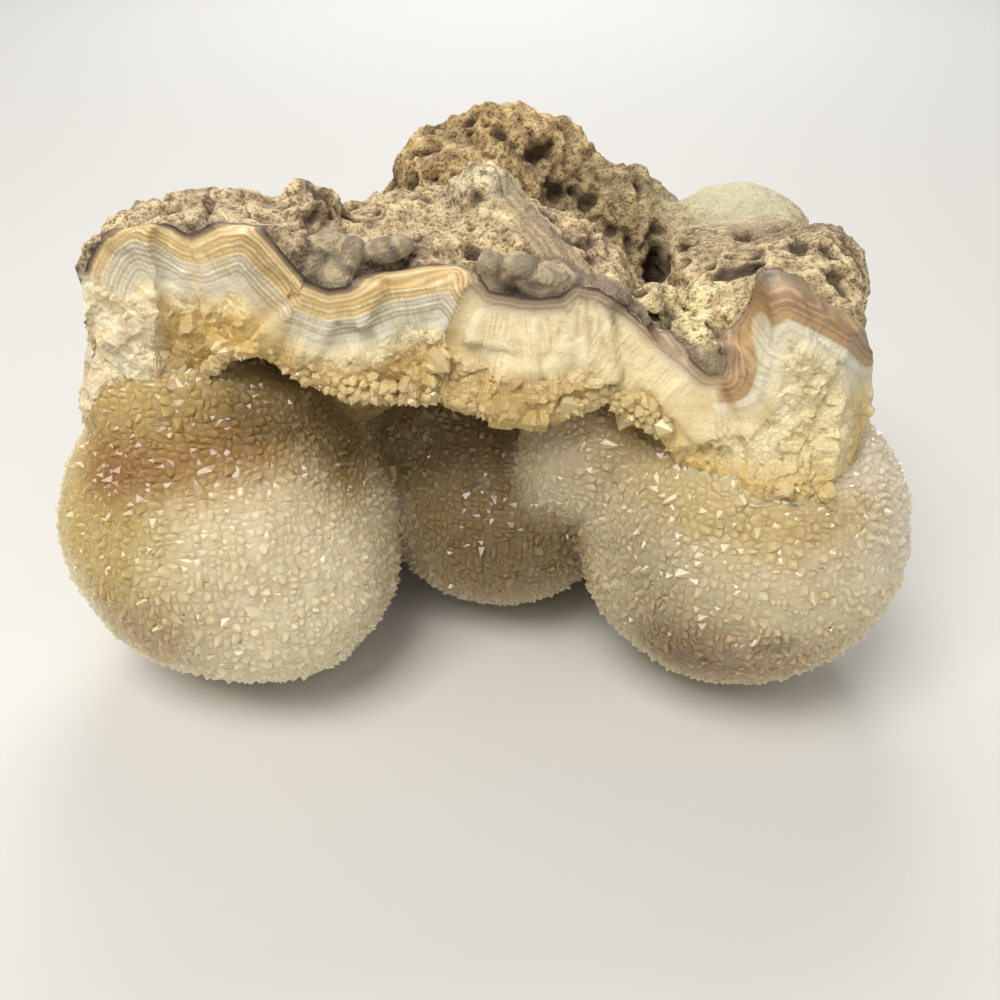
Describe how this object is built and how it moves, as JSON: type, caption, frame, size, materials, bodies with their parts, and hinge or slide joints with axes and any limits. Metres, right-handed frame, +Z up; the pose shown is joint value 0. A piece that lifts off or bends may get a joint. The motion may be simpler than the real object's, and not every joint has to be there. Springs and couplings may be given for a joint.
{
  "type": "druzy quartz geode",
  "caption": "Broken piece of geode wall with agate bands and a rough rind, arched over rounded balls of quartz under a sparkling crust of small crystals.",
  "frame": {"origin": "on the table, under the middle of the piece's box", "axes": "+Z up, +X to the right along the longest side, +Y from the broken front to the back"},
  "size_m": [0.161, 0.1136, 0.0951],
  "materials": {
    "wall_stone": "rough",
    "quartz_druse": "gloss"
  },
  "bodies": {
    "root": {"geode_wall": "wall_stone", "druzy_crust": "quartz_druse"}
  },
  "joints": []
}
